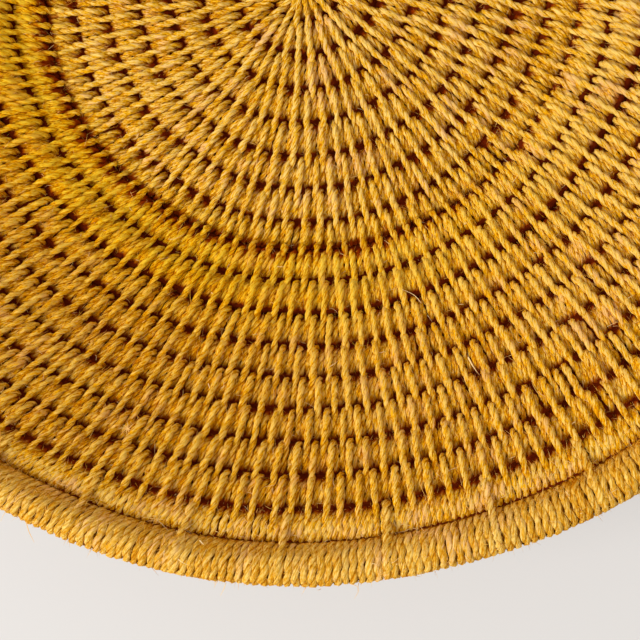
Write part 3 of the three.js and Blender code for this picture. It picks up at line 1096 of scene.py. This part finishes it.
class BASKET_OT_catch_stitches(bpy.types.Operator):
    """Tie the rim to the last round"""

    bl_idname = "basket.catch_stitches"
    bl_label = "Catch stitches"

    def execute(self, context):
        line, _, _ = workshop()
        sizes = line.sizes
        nodes = sorted(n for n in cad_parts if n.startswith("rim_catch_stitch_"))
        for k, replaced in enumerate(nodes):
            rounds = sizes.body_rounds + sizes.rim_swell_rounds + k * sizes.catch_rounds
            path = catch_stitch_path(line, rounds, 60 + k)
            made = twine_piece(f"catch_twine_{k + 1:02d}", path, "Sisal rim twine", 80 + k)
            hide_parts(replaced)
        return {"FINISHED"}


def fibre_piece(name, points, faces, tone):
    """A piece made of many single fibres of three-cornered faces."""
    points = points.reshape(-1, 3)
    points[:, 2] = np.maximum(points[:, 2], 0.05 * MM)
    made = add_mesh(name, points, faces.reshape(-1, 3), {"tone": tone}, "Stray fibre")


def fibre_tubes(name, path, radius, sides, tone):
    """A piece made of closed tubes along paths, by fibre and point."""
    count, rings = radius.shape
    ahead = unit(np.gradient(path, axis=1))
    one = unit(np.cross(ahead, np.array([0.3, 0.5, 0.8])))
    two = np.cross(ahead, one)
    turn = np.arange(sides) * TURN / sides
    ring = facing(one[:, :, None], two[:, :, None], turn)
    points = path[:, :, None] + ring * radius[:, :, None, None]
    faces = []
    for i in range(rings - 1):
        for j in range(sides):
            a, b = i * sides + j, i * sides + (j + 1) % sides
            faces += [[a, b, b + sides], [a, b + sides, a + sides]]
    last = (rings - 1) * sides
    for j in range(1, sides - 1):
        faces += [[0, j + 1, j], [last, last + j, last + j + 1]]
    faces = np.array(faces) + np.arange(count)[:, None, None] * rings * sides
    fibre_piece(name, points, faces, np.repeat(tone, rings * sides))


def scattered(random, line, count, draw, *spread):
    """Places of single fibres: their rounds and angles round the cord, a fifth of them beneath."""
    rounds = np.sqrt(random.uniform(0, 1, count)) * (line.rim_end - 1.2) + 1.1
    phi = np.radians(draw(*spread, count))
    phi[random.uniform(0, 1, count) < 0.2] -= math.pi
    return rounds, phi


# Each row: rounds, angle round the cord, heading seen from above, rise, length and radius in
# millimetres, how far it curls in degrees, and how pale it is
LOOSE_ENDS = [
    (17.266, 5, -80, -10, 6.0, 0.09, 12, 0.4),
    (17.319, -5, -108, -5, 4.0, 0.08, -10, 0.8),
    (17.317, 0, -130, 5, 2.0, 0.07, 20, 0.5),
    (17.350, 0, -20, 0, 5.5, 0.06, -95, 0.4),
    (17.311, 118, -45, 6, 4.6, 0.13, 22, 1.0),
    (17.304, 140, 8, 4, 5.0, 0.08, 30, 0.7),
    (14.417, 60, 0, 10, 3.4, 0.17, -110, 1.0),
    (12.400, 80, -62, 3, 6.5, 0.22, 8, 0.9),
    (13.420, 60, 20, 25, 2.4, 0.12, 130, 1.0),
    (14.290, 45, -95, 10, 3.2, 0.06, 10, 1.0),
    (12.301, 70, -68, 8, 3.6, 0.11, 14, 1.0),
    (12.306, 60, 30, 20, 2.6, 0.06, 60, 0.8),
    (11.367, 90, -30, 12, 2.6, 0.10, 50, 1.0),
    (15.420, 60, -150, 15, 2.6, 0.16, 40, 0.8),
    (15.423, 50, 75, 15, 2.2, 0.12, -40, 0.7),
    (10.391, 100, 130, 8, 7.0, 0.10, 25, 0.9),
    (9.900, 85, 160, 10, 5.0, 0.10, -30, 0.8),
    (6.202, 60, 50, 15, 2.2, 0.16, 60, 0.6),
    (17.600, -10, 10, 10, 7.0, 0.07, 60, 0.5),
    (17.780, 10, 75, -5, 6.0, 0.08, -50, 0.6),
    (17.080, 0, 200, 0, 6.5, 0.07, 70, 0.5),
]
# The fibres of a tuft: heading and length
TUFT = [(-150, 2.4), (-110, 1.6), (-60, 2.2), (-20, 2.6), (25, 2.0), (75, 2.3), (120, 1.7)]
TUFT += [(165, 2.6)]


class BASKET_OT_loose_ends(bpy.types.Operator):
    """Add the few longer fibres that have worked loose, and a tuft"""

    bl_idname = "basket.loose_ends"
    bl_label = "Loose ends"

    def execute(self, context):
        line, _, _ = workshop()
        rows = LOOSE_ENDS + [(14.28, 70, turn, 18, size, 0.1, 25, 0.55) for turn, size in TUFT]
        rounds, phi, heading, rise, reach, radius, curl, tone = np.array(rows, float).T
        phi, heading, rise, curl = (np.radians(v) for v in (phi, heading, rise, curl))
        middle, along, off, _ = line.at(rounds)
        root = middle + facing(along, off, phi) * line.cord_radius(rounds)[:, None]
        parts = 9
        u = np.linspace(0, 1, parts)
        turned = heading[:, None] + curl[:, None] * (u - 0.3 * np.sin(TURN * u))
        rise = np.sin(rise)[:, None] + 0 * u
        step = np.stack([np.cos(turned), np.sin(turned), rise], -1)
        path = np.cumsum(step, axis=1) * (reach * MM / parts)[:, None, None]
        path = root[:, None] + path - path[:, :1]
        fibre_tubes("loose_ends", path, radius[:, None] * MM * (1 - 0.7 * u**2), 5, tone)
        return {"FINISHED"}


class BASKET_OT_stray_fibres(bpy.types.Operator):
    """Add the stray fibres that stand out of the twine"""

    bl_idname = "basket.stray_fibres"
    bl_label = "Stray fibres"

    def execute(self, context):
        line, _, _ = workshop()
        sizes = line.sizes
        random = np.random.default_rng(5)
        count = sizes.hair_count
        # What lies along a slit, and in the groove beside the rim: its share of the fibres, and the
        # mean and the spread of its angle round the cord, in degrees
        slit_share, slit_angle = 0.3, (38, 14)
        groove_share, groove_angle = 0.1, (32, 12)
        shortest, sagging = 0.12, 0.35  # shares of a fibre's length
        rounds, phi = scattered(random, line, count, random.normal, 90, 32)
        caught = random.uniform(0, 1, count) < slit_share
        phi[caught] = np.radians(random.normal(*slit_angle, caught.sum()))
        grooved = random.uniform(0, 1, count) < groove_share
        rounds[grooved] = random.uniform(sizes.body_rounds - 1, sizes.body_rounds, grooved.sum())
        phi[grooved] = np.radians(random.normal(*groove_angle, grooved.sum()))
        caught = caught | grooved
        middle, along, off, ahead = line.at(rounds)
        normal = facing(along, off, phi)
        radius = line.cord_radius(rounds) + random.uniform(-0.3, 0.6, count) * MM
        root = middle + normal * radius[:, None]
        tangent = np.cross(ahead, normal) * random.choice([-1, 1], count)[:, None]
        spread = random.normal(0, 0.6, (count, 3))
        heading = unit(tangent + 0.55 * spread + normal * random.uniform(0.0, 0.5, count)[:, None])
        lying = unit(ahead * random.choice([-1, 1], count)[:, None] + 0.5 * spread + 0.15 * normal)
        heading = np.where(caught[:, None], lying, heading)
        bend = random.normal(0, 1, (count, 3)) * 0.9
        reach = shortest + (1 - shortest) * random.beta(0.6, 7, count)[:, None, None]
        reach = sizes.hair_length * reach
        u = np.linspace(0, 1, 5)
        path = root[:, None] + heading[:, None] * u[:, None] * reach
        path = path + bend[:, None] * (u**2 * sagging)[:, None] * reach
        thick = random.uniform(0.04, 0.085, count) * MM * np.where(caught, 1.3, 1)
        tone = random.uniform(0, 1, count)
        fibre_tubes("stray_fibres", path, thick[:, None] * (1 - 0.75 * u**2), 3, tone)
        return {"FINISHED"}


class BASKET_OT_fuzz(bpy.types.Operator):
    """Rough up the twine with the ends of its fibres"""

    bl_idname = "basket.fuzz"
    bl_label = "Fuzz"

    def execute(self, context):
        line, _, _ = workshop()
        random = np.random.default_rng(17)
        count = line.sizes.fuzz_count
        rounds, phi = scattered(random, line, count, random.uniform, 0, 180)
        middle, along, off, ahead = line.at(rounds)
        normal = facing(along, off, phi)
        out = line.cord_radius(rounds) - random.uniform(0.05, 0.6, count) * MM
        root = middle + normal * out[:, None]
        wrap = np.cross(ahead, normal) * random.choice([-1, 1], count)[:, None]
        loose = random.normal(0, 0.35, (count, 3))
        heading = unit(wrap + loose + normal * random.uniform(0.1, 0.7, count)[:, None])
        reach = line.sizes.fuzz_length * random.uniform(0.3, 1, count)
        thick = random.uniform(0.05, 0.1, count) * MM
        side = unit(np.cross(heading, normal))
        foot = facing(side[:, None], np.cross(heading, side)[:, None], np.arange(3) * TURN / 3)
        foot = root[:, None] + foot * thick[:, None, None]
        points = np.concatenate([foot, (root + heading * reach[:, None])[:, None]], 1)
        faces = np.array([[0, 1, 3], [1, 2, 3], [2, 0, 3], [2, 1, 0]])
        faces = faces + np.arange(count)[:, None, None] * 4
        fibre_piece("twine_fuzz", points, faces, np.repeat(random.uniform(0, 0.45, count), 4))
        return {"FINISHED"}


class BASKET_OT_studio(bpy.types.Operator):
    """Set up the floor, the lights and the camera"""

    bl_idname = "basket.studio"
    bl_label = "Studio"

    def execute(self, context):
        scene = context.scene
        tint = scene.basket_colours.floor
        bpy.ops.object.select_all(action="DESELECT")
        bpy.ops.mesh.primitive_plane_add(size=6, location=(0, 0, -0.2 * MM))
        floor = context.object
        floor.name = "studio_floor"
        floor.data.transform(floor.matrix_world)
        floor.matrix_world.identity()
        paint, graph, shader = new_material("Studio floor")
        graph.fill(shader, {"Base Color": tint, "Roughness": 0.9})
        glow = graph.node("Emission", {"Color": tint, "Strength": 1.08}).outputs["Emission"]
        seen = graph.node("LightPath").outputs["Is Camera Ray"]
        share = graph.maths("MULTIPLY", seen, 0.6)
        mixed = graph.node("MixShader", {0: share, 1: shader.outputs["BSDF"], 2: glow})
        output = graph.tree.nodes["Material Output"]
        graph.feed(output.inputs["Surface"], mixed.outputs["Shader"])
        floor.data.materials.append(paint)

        scene.world = bpy.data.worlds.new("Studio")
        scene.world.use_nodes = True
        sky = scene.world.node_tree
        Graph(sky).fill(sky.nodes["Background"], {"Color": (1, 1, 1), "Strength": 0.76})

        key = bpy.data.lights.new("key_light", "AREA")
        key.shape = "SQUARE"
        key.size = 0.6
        key.energy = 12.2
        lamp = bpy.data.objects.new("key_light", key)
        lamp.location = (-0.81, -0.34, 0.77)
        lamp.rotation_mode = "QUATERNION"
        towards = Vector((0, 0, 0.02)) - lamp.location
        lamp.rotation_quaternion = towards.to_track_quat("-Z", "Y")
        scene.collection.objects.link(lamp)

        picture_side, focal_length = 640, 1100  # in pixels
        tilt, pan = -0.049, -0.0846  # in radians, away from straight down
        stand = np.array([29.85, -74.75, 293.33]) * MM  # from the middle of the base's cord
        camera = bpy.data.objects.new("camera", bpy.data.cameras.new("camera"))
        scene.collection.objects.link(camera)
        camera.data.lens = focal_length / picture_side * camera.data.sensor_width
        camera.data.clip_start = 0.01
        level = math.cos(tilt)
        ahead = np.array([math.sin(pan) * level, math.sin(tilt), -level * math.cos(pan)])
        right = unit(np.array([1.0, 0, 0]) - ahead * ahead[0])
        up = -np.cross(ahead, right)
        line, _, _ = workshop()
        place = line.pole + stand
        place[2] += line.floor_drop
        matrix = np.eye(4)
        matrix[:3] = np.stack([right, up, -ahead, place], 1)
        camera.matrix_world = Matrix(matrix.tolist())
        scene.camera = camera
        scene.view_settings.view_transform = "Standard"
        return {"FINISHED"}


class BASKET_PT_panel(bpy.types.Panel):
    """Sizes, colours and pieces of the basket"""

    bl_idname = "BASKET_PT_panel"
    bl_label = "Sisal basket"
    bl_space_type = "VIEW_3D"
    bl_region_type = "UI"
    bl_category = "Basket"

    def draw(self, context):
        layout = self.layout
        for group in (context.scene.basket_sizes, context.scene.basket_colours):
            box = layout.box()
            for key in group.bl_rna.properties.keys():
                if key not in ("rna_type", "name"):
                    box.prop(group, key)
        for operator in OPERATORS:
            layout.operator(operator.bl_idname)


OPERATORS = (
    BASKET_OT_studio,
    BASKET_OT_bundles,
    BASKET_OT_start_knot,
    BASKET_OT_base_twine,
    BASKET_OT_wall_twine,
    BASKET_OT_rim_twine,
    BASKET_OT_catch_stitches,
    BASKET_OT_stray_fibres,
    BASKET_OT_fuzz,
    BASKET_OT_loose_ends,
)
CLASSES = (BasketSizes, BasketColours, *OPERATORS, BASKET_PT_panel)


def register():
    for cls in CLASSES:
        bpy.utils.register_class(cls)
    bpy.types.Scene.basket_sizes = PointerProperty(type=BasketSizes)
    bpy.types.Scene.basket_colours = PointerProperty(type=BasketColours)


def unregister():
    del bpy.types.Scene.basket_colours
    del bpy.types.Scene.basket_sizes
    for cls in reversed(CLASSES):
        bpy.utils.unregister_class(cls)


def main():
    """Make the whole basket."""
    register()
    bpy.ops.basket.studio()
    bpy.ops.basket.bundles()
    bpy.ops.basket.start_knot()
    bpy.ops.basket.base_twine()
    bpy.ops.basket.wall_twine()
    bpy.ops.basket.rim_twine()
    bpy.ops.basket.catch_stitches()
    bpy.ops.basket.stray_fibres()
    bpy.ops.basket.fuzz()
    bpy.ops.basket.loose_ends()


if __name__ == "__main__":
    main()
